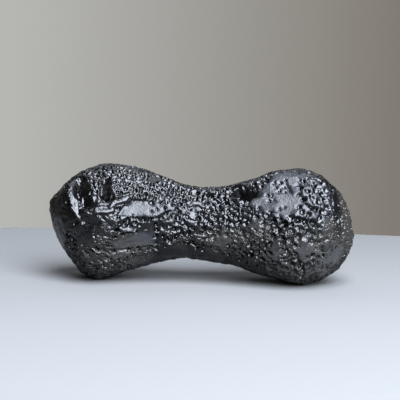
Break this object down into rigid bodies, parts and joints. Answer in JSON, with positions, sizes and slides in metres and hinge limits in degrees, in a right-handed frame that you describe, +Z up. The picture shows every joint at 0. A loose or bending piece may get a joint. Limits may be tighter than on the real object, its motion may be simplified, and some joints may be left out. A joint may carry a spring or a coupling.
{
  "type": "tektite",
  "caption": "Dumbbell-shaped tektite of pitted black glass, lying on the two small flats under its lobes.",
  "frame": {"origin": "middle of the stone's bounding box, on the surface it lies on", "axes": "+X along the stone towards its taller, rounder lobe on the right in the picture, +Z up, -Y towards the viewer of the picture"},
  "size_m": [0.0782, 0.0294, 0.0298],
  "materials": {
    "black_glass": "pitted natural glass, glossy on the smooth patches and satin between the pits"
  },
  "bodies": {
    "root": {"tektite": "black_glass"}
  },
  "joints": []
}
